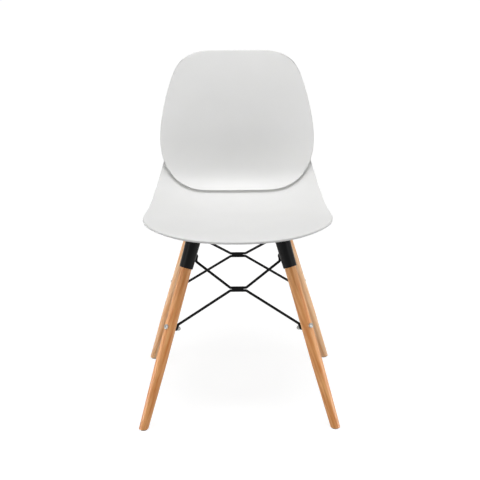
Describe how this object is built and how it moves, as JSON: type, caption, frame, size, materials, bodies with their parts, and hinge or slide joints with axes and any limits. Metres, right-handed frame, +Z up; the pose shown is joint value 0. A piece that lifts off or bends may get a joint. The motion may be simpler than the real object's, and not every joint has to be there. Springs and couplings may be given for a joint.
{
  "type": "moulded plastic shell chair",
  "caption": "Armless side chair: a moulded seat shell with a separate back panel on splayed turned wooden legs, joined by steel sockets and bent-rod X braces.",
  "frame": {"origin": "on the floor, under the middle of the whole chair's outer box", "axes": "+Z up, +Y from the front edge of the seat to the back, +X to the right of a viewer who faces the front of the chair"},
  "size_m": [0.4748, 0.5002, 0.8181],
  "materials": {
    "white_polypropylene": "satin",
    "lacquered_beech": "satin",
    "black_powder_coat": "satin",
    "zinc_plated_steel": "satin",
    "brass_insert": "satin",
    "black_rubber": "matte",
    "grey_polyethylene": "matte"
  },
  "bodies": {
    "root": {"back_panel": "white_polypropylene", "back_panel_screws": "zinc_plated_steel", "brace_welds": "black_powder_coat", "foot_glides": "grey_polyethylene", "front_brace_lower_rod": "black_powder_coat", "front_brace_upper_rod": "black_powder_coat", "front_crossbar": "black_powder_coat", "glide_nails": "zinc_plated_steel", "left_brace_lower_rod": "black_powder_coat", "left_brace_upper_rod": "black_powder_coat", "left_side_bar": "black_powder_coat", "leg_bolts": "zinc_plated_steel", "leg_cap_nuts": "zinc_plated_steel", "leg_front_left": "lacquered_beech", "leg_front_right": "lacquered_beech", "leg_rear_left": "lacquered_beech", "leg_rear_right": "lacquered_beech", "leg_washers": "zinc_plated_steel", "mounting_pads": "black_rubber", "rear_brace_lower_rod": "black_powder_coat", "rear_brace_upper_rod": "black_powder_coat", "rear_crossbar": "black_powder_coat", "right_brace_lower_rod": "black_powder_coat", "right_brace_upper_rod": "black_powder_coat", "right_side_bar": "black_powder_coat", "seat_inserts": "brass_insert", "seat_screws": "zinc_plated_steel", "seat_shell": "white_polypropylene", "socket_front_left": "black_powder_coat", "socket_front_right": "black_powder_coat", "socket_rear_left": "black_powder_coat", "socket_rear_right": "black_powder_coat", "socket_screws": "zinc_plated_steel"}
  },
  "joints": []
}
